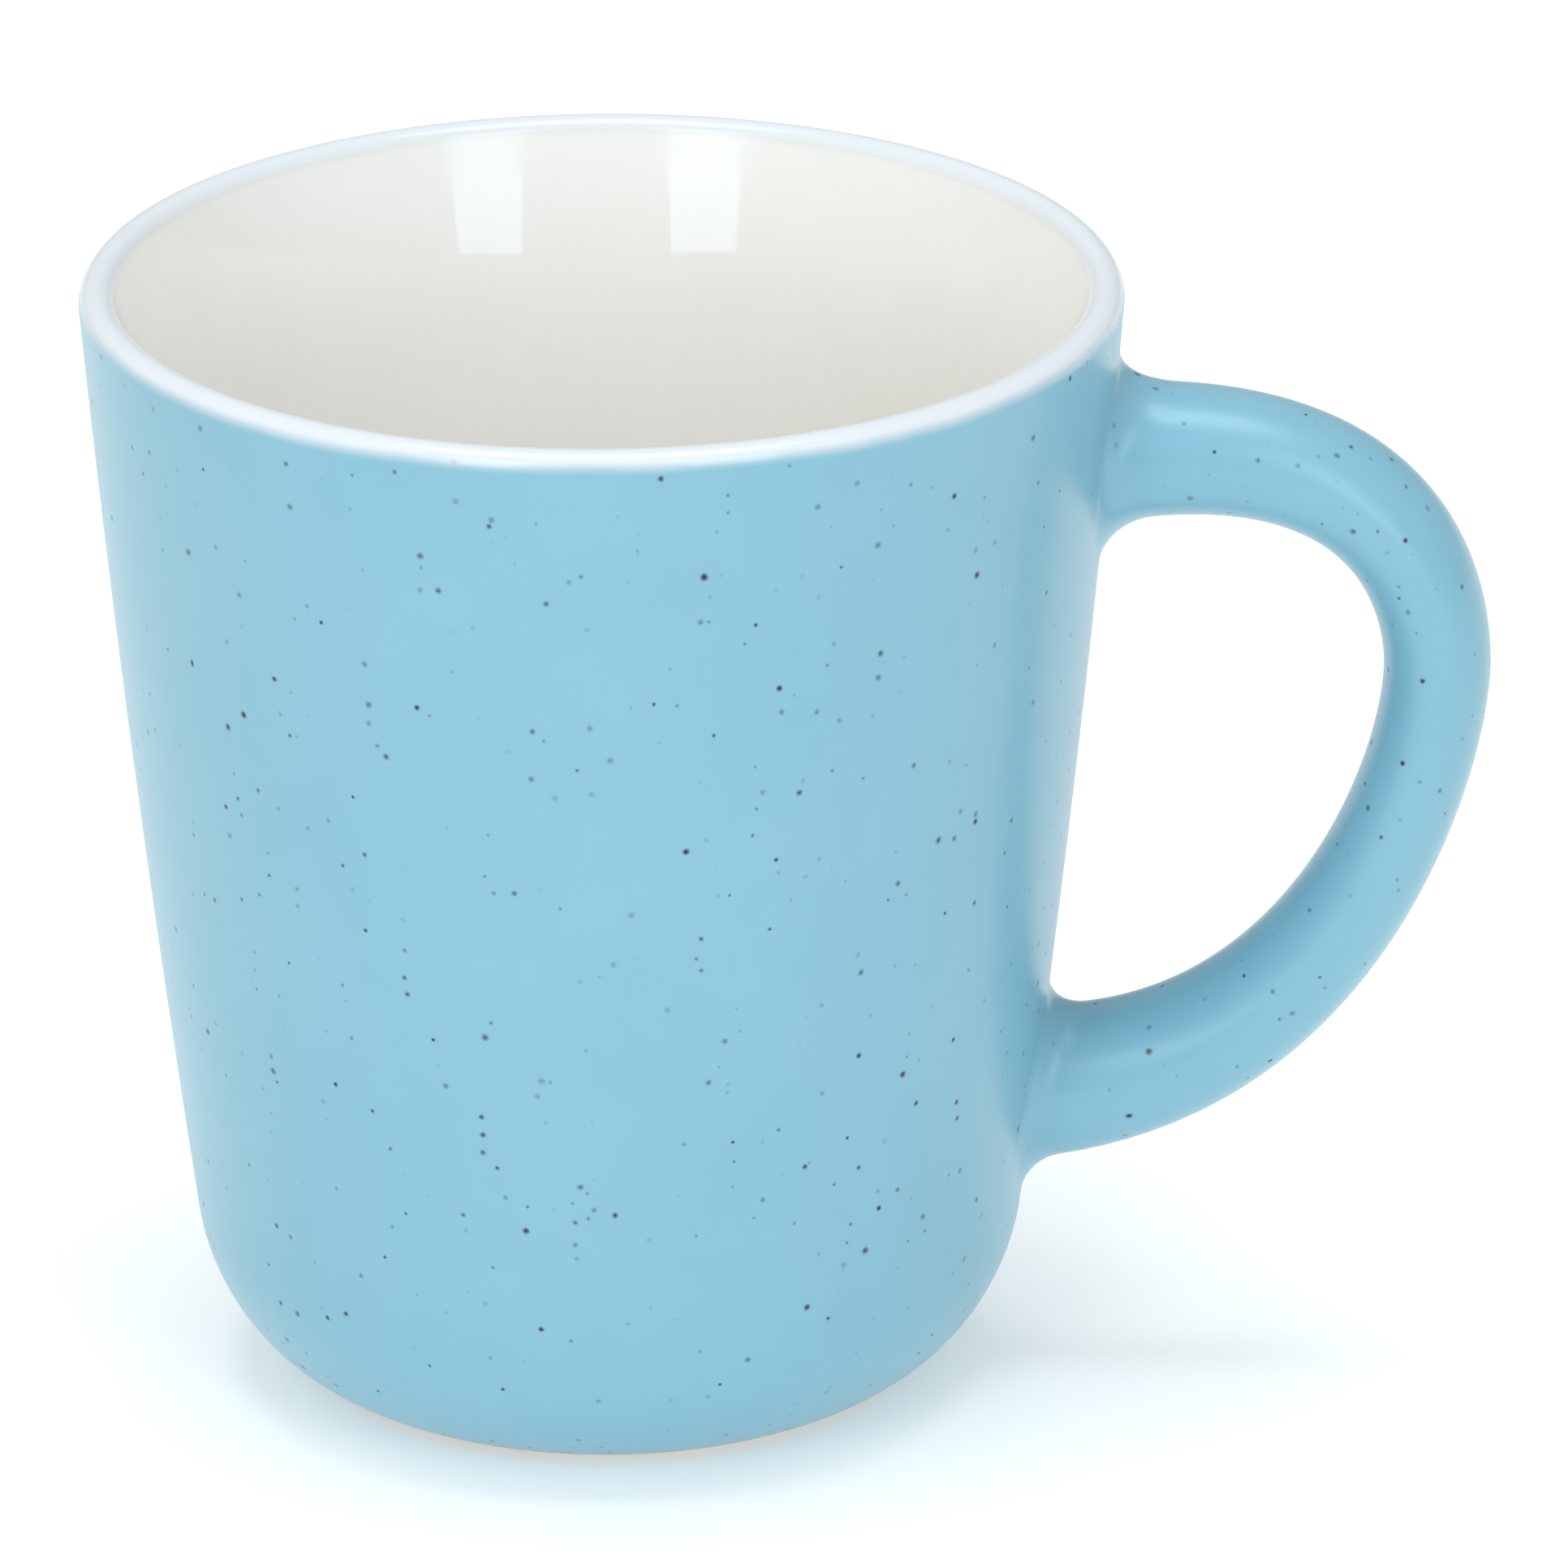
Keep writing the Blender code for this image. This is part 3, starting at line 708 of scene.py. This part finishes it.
def make_clay_cup(clay):
    """The clay cup just behind its coats of glaze, with the bare rounded ring that it stands on."""
    inside = inner_outline()
    outside = OUTER_OUTLINE[:: CURVE_SAMPLES // OUTER_CLAY_ROWS][1:]
    surface = sunk(np.vstack([inside, outside]), GLAZE + CONTACT)
    past_lip = np.arange(len(surface)) > np.argmax(surface[:, 1])
    bare = past_lip & (surface[:, 1] < GLAZE_END_HEIGHT + GLAZE)
    surface = surface[~bare]
    surface[0][0] = 0.0
    outer_centre = (FOOT_RADIUS - FOOT_ROUNDING / 2, FOOT_ROUNDING)
    inner_centre = (FOOT_RADIUS - FOOT_WIDTH + FOOT_ROUNDING / 2, FOOT_ROUNDING)
    outer_edge = arc(outer_centre, FOOT_ROUNDING, 0, -math.pi / 2, FOOT_EDGE_ROWS)
    inner_edge = arc(inner_centre, FOOT_ROUNDING, -math.pi / 2, -math.pi, FOOT_EDGE_ROWS)
    roof = RECESS_HEIGHT + GLAZE + CONTACT
    recess = [[FOOT_RADIUS - FOOT_WIDTH - RECESS_DRAFT, roof], [0.0, roof]]
    outline = np.vstack([surface, outer_edge, inner_edge, recess])
    points, faces = turned_surface(turned_rows(outline))
    add_piece("cup_clay_body", points, faces, clay, "cup_clay")


# ---------------------------------------------------------------- materials


def new_material(name):
    material = bpy.data.materials.new(name)
    material.use_nodes = True
    tree = material.node_tree
    return material, tree, tree.nodes["Principled BSDF"]


def node(tree, kind, inputs, **settings):
    """A new shader node with these settings. An input that is itself a socket gets linked."""
    made = tree.nodes.new("ShaderNode" + kind)
    for name, value in settings.items():
        setattr(made, name, value)
    for key, value in inputs.items():
        if isinstance(value, bpy.types.NodeSocket):
            tree.links.new(value, made.inputs[key])
        else:
            made.inputs[key].default_value = value
    return made


def calculate(tree, operation, *values):
    return node(tree, "Math", dict(enumerate(values)), operation=operation).outputs[0]


def moved(tree, operation, inputs):
    return node(tree, "VectorMath", inputs, operation=operation).outputs[0]


def between(tree, value, low, high, at_low=0.0, at_high=1.0, smooth=True):
    """A value that goes from at_low to at_high as the given one goes from low to high."""
    inputs = {
        "Value": value,
        "From Min": low,
        "From Max": high,
        "To Min": at_low,
        "To Max": at_high,
    }
    kind = "SMOOTHSTEP" if smooth else "LINEAR"
    return node(tree, "MapRange", inputs, interpolation_type=kind).outputs["Result"]


def mixed(tree, share, first, second):
    """A colour that goes from the first to the second with this share."""
    return node(tree, "Mix", {0: share, 6: first, 7: second}, data_type="RGBA").outputs[2]


def place(tree):
    """The place on the object, in metres."""
    return node(tree, "TexCoord", {}).outputs["Object"]


def noise(tree, where, size, detail=2.0):
    """Noise from 0 to 1 whose features are about this far apart."""
    inputs = {"Vector": where, "Scale": 1 / size, "Detail": detail}
    return node(tree, "TexNoise", inputs).outputs["Fac"]


def bump(tree, shader, height, depth):
    made = node(tree, "Bump", {"Height": height, "Distance": depth, "Strength": 1.0})
    tree.links.new(made.outputs["Normal"], shader.inputs["Normal"])


def specks(tree, where, spacing, smallest, largest, chance, faintest, darkest):
    """How much speck there is, from 0 to 1: soft round dots of random size and strength.

    One dot may lie in each cell of a pattern of this spacing, and this share of the cells have one.
    """
    # A small random shift of the place makes the dots a little uneven.
    nudge_inputs = {"Vector": where, "Scale": 1 / SPECK_WOBBLE_SIZE, "Detail": 1.0}
    nudge = node(tree, "TexNoise", nudge_inputs).outputs["Color"]
    centred = moved(tree, "SUBTRACT", {0: nudge, 1: (0.5, 0.5, 0.5)})
    small = moved(tree, "SCALE", {0: centred, "Scale": SPECK_WOBBLE})
    shaken = moved(tree, "ADD", {0: where, 1: small})
    cells = node(tree, "TexVoronoi", {"Vector": shaken, "Scale": 1 / spacing})
    dice = node(tree, "SeparateColor", {"Color": cells.outputs["Color"]})
    size = calculate(tree, "POWER", dice.outputs["Red"], 2.0)
    radius = between(tree, size, 0.0, 1.0, smallest / spacing, largest / spacing, smooth=False)
    off_centre = calculate(tree, "DIVIDE", cells.outputs["Distance"], radius)
    soft = between(tree, off_centre, 1.0, SPECK_CORE_SHARE)
    strength = between(tree, dice.outputs["Blue"], 0.0, 1.0, faintest, darkest, smooth=False)
    chosen = calculate(tree, "LESS_THAN", dice.outputs["Green"], chance)
    return calculate(tree, "MULTIPLY", calculate(tree, "MULTIPLY", soft, chosen), strength)


def white_gloss_glaze():
    """Warm white gloss glaze, very slightly uneven."""
    material, tree, shader = new_material("white_gloss_glaze")
    where = place(tree)
    cloud = between(tree, noise(tree, where, WHITE_CLOUD_SIZE), *MOST_NOISE)
    height = node(tree, "SeparateXYZ", {"Vector": where}).outputs["Z"]

    # On top of the lip the colour is painted darker and bluer: painted shade where the overhead light
    # falls, and a painted bluish reflection.
    low, high = [CUP_HEIGHT - below for below in LIP_PAINT_BELOW_RIM]
    painted_lip_share = between(tree, height, low, high)
    colour = mixed(tree, painted_lip_share, mixed(tree, cloud, WHITE_DEEP, WHITE), LIP_WHITE_PAINTED_SHADE_AND_REFLECTION)
    tree.links.new(colour, shader.inputs["Base Color"])

    # It is glossy inside, and less so towards the lip.
    gloss = between(tree, noise(tree, where, GLOSS_PATCH_SIZE), *MOST_NOISE, *GLOSS_ROUGHNESS)
    low, high = [CUP_HEIGHT - below for below in LIP_ROUGHNESS_BELOW_RIM]
    roughness = between(tree, height, low, high, gloss, LIP_ROUGHNESS)
    tree.links.new(roughness, shader.inputs["Roughness"])
    bump(tree, shader, noise(tree, where, RIPPLE_SIZE, 1.0), RIPPLE_DEPTH)
    return material


def blue_satin_glaze():
    """Satin light blue glaze with iron specks, which thins to white at its upper edge."""
    material, tree, shader = new_material("blue_satin_glaze")
    where = place(tree)

    # The upper edge wanders a little and fades over about a millimetre.
    attribute = node(tree, "Attribute", {}, attribute_name=BELOW_LINE).outputs["Fac"]
    wander_noise = noise(tree, where, BLUE_EDGE_WANDER_SIZE)
    ends = (-BLUE_EDGE_WANDER, BLUE_EDGE_WANDER)
    wander = between(tree, wander_noise, *NEARLY_ALL_NOISE, *ends, smooth=False)
    below = calculate(tree, "ADD", attribute, wander)
    blue_share = between(tree, below, -BLUE_EDGE_FADE, BLUE_EDGE_FADE)

    # Soft mottling over slow clouds.
    mottle = noise(tree, where, MOTTLE_SIZE, 1.0)
    cloud = between(tree, noise(tree, where, BLUE_CLOUD_SIZE), *MOST_NOISE)
    body = mixed(tree, mottle, BLUE_DEEP, BLUE)
    body = mixed(tree, calculate(tree, "MULTIPLY", cloud, BLUE_CLOUD_SHARE), body, BLUE_PALE)

    plain = specks(tree, where, *PLAIN_SPECKS)
    faint = specks(tree, where, *FAINT_SPECKS)
    speckled = mixed(tree, plain, mixed(tree, faint, body, SPECK), SPECK_CORE)

    # Close to where it ends above the foot, the glaze is thin and greyer.
    height = node(tree, "SeparateXYZ", {"Vector": where}).outputs["Z"]
    thin = between(tree, height, GLAZE_END_HEIGHT + THIN_BLUE_HEIGHT, GLAZE_END_HEIGHT)
    ended = mixed(tree, thin, speckled, THIN_BLUE)
    # Above its edge the blue gives way to the lip's white, which carries the painted shade and the painted
    # bluish reflection.
    colour = mixed(tree, blue_share, LIP_WHITE_PAINTED_SHADE_AND_REFLECTION, ended)
    tree.links.new(colour, shader.inputs["Base Color"])

    satin = between(tree, mottle, 0.0, 1.0, *SATIN_ROUGHNESS, smooth=False)
    roughness = between(tree, blue_share, 0.0, 1.0, BLUE_EDGE_ROUGHNESS, satin, smooth=False)
    tree.links.new(roughness, shader.inputs["Roughness"])
    return material


def stoneware_clay():
    """Bare fired stoneware: matt and finely grained."""
    material, tree, shader = new_material("stoneware_clay")
    where = place(tree)
    grain = noise(tree, where, CLAY_GRAIN_SIZE, 4.0)
    cloud = between(tree, noise(tree, where, CLAY_CLOUD_SIZE), *MOST_NOISE)
    body = mixed(tree, cloud, CLAY_DEEP, CLAY)
    iron = specks(tree, where, *CLAY_SPECKS)
    tree.links.new(mixed(tree, iron, body, SPECK), shader.inputs["Base Color"])
    roughness = between(tree, grain, *MORE_NOISE, *CLAY_ROUGHNESS)
    tree.links.new(roughness, shader.inputs["Roughness"])
    bump(tree, shader, grain, CLAY_GRAIN_DEPTH)
    return material


def joining_slip():
    """Dried and fired slip: the same clay, smoother and a little greyer."""
    material, tree, shader = new_material("joining_slip")
    where = place(tree)
    brushed = noise(tree, where, SLIP_BRUSH_SIZE, 3.0)
    tree.links.new(mixed(tree, brushed, CLAY_DEEP, SLIP), shader.inputs["Base Color"])
    roughness = between(tree, brushed, *MORE_NOISE, *SLIP_ROUGHNESS)
    tree.links.new(roughness, shader.inputs["Roughness"])
    bump(tree, shader, brushed, SLIP_BRUSH_DEPTH)
    return material


def studio_floor():
    """Matt white board that glows a little, so that it stays as pale as the room round it."""
    material, tree, shader = new_material("studio_floor")
    faint = between(tree, noise(tree, place(tree), FLOOR_PATCH_SIZE), *MOST_NOISE)
    tree.links.new(mixed(tree, faint, FLOOR_LOW, FLOOR_HIGH), shader.inputs["Base Color"])
    shader.inputs["Roughness"].default_value = FLOOR_ROUGHNESS
    shader.inputs["Specular IOR Level"].default_value = 0.0
    shader.inputs["Emission Color"].default_value = FLOOR_GLOW_COLOUR
    shader.inputs["Emission Strength"].default_value = FLOOR_GLOW
    return material


# ---------------------------------------------------------------- studio


def direction(azimuth, elevation):
    """The direction from the mug towards a place in the studio. Azimuth 0 is in front, on the -Y side."""
    return Vector(
        (
            math.sin(azimuth) * math.cos(elevation),
            -math.cos(azimuth) * math.cos(elevation),
            math.sin(elevation),
        )
    )


def make_camera():
    back = direction(CAMERA_AZIMUTH, CAMERA_ELEVATION)
    level_right = Vector((math.cos(CAMERA_AZIMUTH), math.sin(CAMERA_AZIMUTH), 0.0))
    level_up = back.cross(level_right)
    right = math.cos(CAMERA_ROLL) * level_right + math.sin(CAMERA_ROLL) * level_up
    up = back.cross(right)
    aim = Vector((CUP_AXIS_X, 0.0, CAMERA_AIM_HEIGHT)) + CAMERA_AIM_RIGHT * level_right
    place_of_camera = aim + CAMERA_DISTANCE * back
    data = bpy.data.cameras.new("camera")
    data.lens = CAMERA_LENS_MM
    camera = bpy.data.objects.new("camera", data)
    turn = Matrix((right, up, back)).transposed().to_4x4()
    camera.matrix_world = Matrix.Translation(place_of_camera) @ turn
    bpy.context.scene.collection.objects.link(camera)
    bpy.context.scene.camera = camera


def make_light(name, towards, distance, width, height, radiance):
    """A soft light of this size and brightness, this far from the mug, that faces it."""
    data = bpy.data.lights.new(name, "AREA")
    data.shape = "RECTANGLE"
    data.size = width
    data.size_y = height
    data.energy = radiance * math.pi * width * height
    data.color = LIGHT_COLOUR
    light = bpy.data.objects.new(name, data)
    light.location = distance * towards + Vector((0.0, 0.0, CUP_HEIGHT / 2))
    light.rotation_mode = "QUATERNION"
    light.rotation_quaternion = towards.to_track_quat("Z", "Y")
    bpy.context.scene.collection.objects.link(light)


def make_softbox(name, azimuth, width, bottom, top):
    """A tall softbox that fills these angles, as the mug sees them."""
    make_light(
        name,
        direction(azimuth + CAMERA_AZIMUTH, (bottom + top) / 2),
        SOFTBOX_DISTANCE,
        2 * SOFTBOX_DISTANCE * math.tan(width / 2),
        2 * SOFTBOX_DISTANCE * math.tan((top - bottom) / 2),
        SOFTBOX_RADIANCE,
    )


def make_room():
    """A pale room, brighter to the left and above."""
    world = bpy.data.worlds.new("studio_room")
    world.use_nodes = True
    tree = world.node_tree
    background = tree.nodes["Background"]
    background.inputs["Color"].default_value = ROOM_COLOUR
    looking = node(tree, "TexCoord", {}).outputs["Generated"]
    towards = node(tree, "SeparateXYZ", {"Vector": looking})
    left = calculate(tree, "MULTIPLY", towards.outputs["X"], -ROOM_LEFT_GAIN)
    top = calculate(tree, "MULTIPLY", towards.outputs["Z"], ROOM_TOP_GAIN)
    gain = calculate(tree, "ADD", calculate(tree, "ADD", left, top), ROOM_RADIANCE)
    tree.links.new(gain, background.inputs["Strength"])
    bpy.context.scene.world = world
    bpy.context.scene.view_settings.view_transform = "Standard"
    bpy.context.scene.view_settings.look = "None"


def make_floor(material):
    half = FLOOR_SIZE / 2
    corners = [(-half, -half), (half, -half), (half, half), (-half, half)]
    mesh = bpy.data.meshes.new("studio_floor")
    mesh.from_pydata([(x, y, -FLOOR_DROP) for x, y in corners], [], [(0, 1, 2, 3)])
    mesh.materials.append(material)
    floor = bpy.data.objects.new("studio_floor", mesh)
    bpy.context.scene.collection.objects.link(floor)


def dress_cad_nodes(clay, slip_clay):
    """Materials for the CAD nodes that stay under the glaze: the handle's clay and the two slips."""
    chosen = {
        "handle_clay": clay,
        "upper_joining_slip": slip_clay,
        "lower_joining_slip": slip_clay,
    }
    for name, material in chosen.items():
        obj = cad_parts[name]
        for slot in obj.material_slots:
            slot.material = material


def main():
    make_camera()
    make_room()
    make_softbox("softbox_left", *SOFTBOX_LEFT)
    make_softbox("softbox_right", *SOFTBOX_RIGHT)
    make_light(
        "overhead_light",
        Vector((0.0, 0.0, 1.0)),
        OVERHEAD_HEIGHT,
        OVERHEAD_WIDTH,
        OVERHEAD_DEPTH,
        OVERHEAD_RADIANCE,
    )
    make_floor(studio_floor())
    clay = stoneware_clay()
    white = white_gloss_glaze()
    make_clay_cup(clay)
    make_liner_glaze(white)
    make_base_glaze(white)
    make_outer_glaze(blue_satin_glaze())
    dress_cad_nodes(clay, joining_slip())


main()
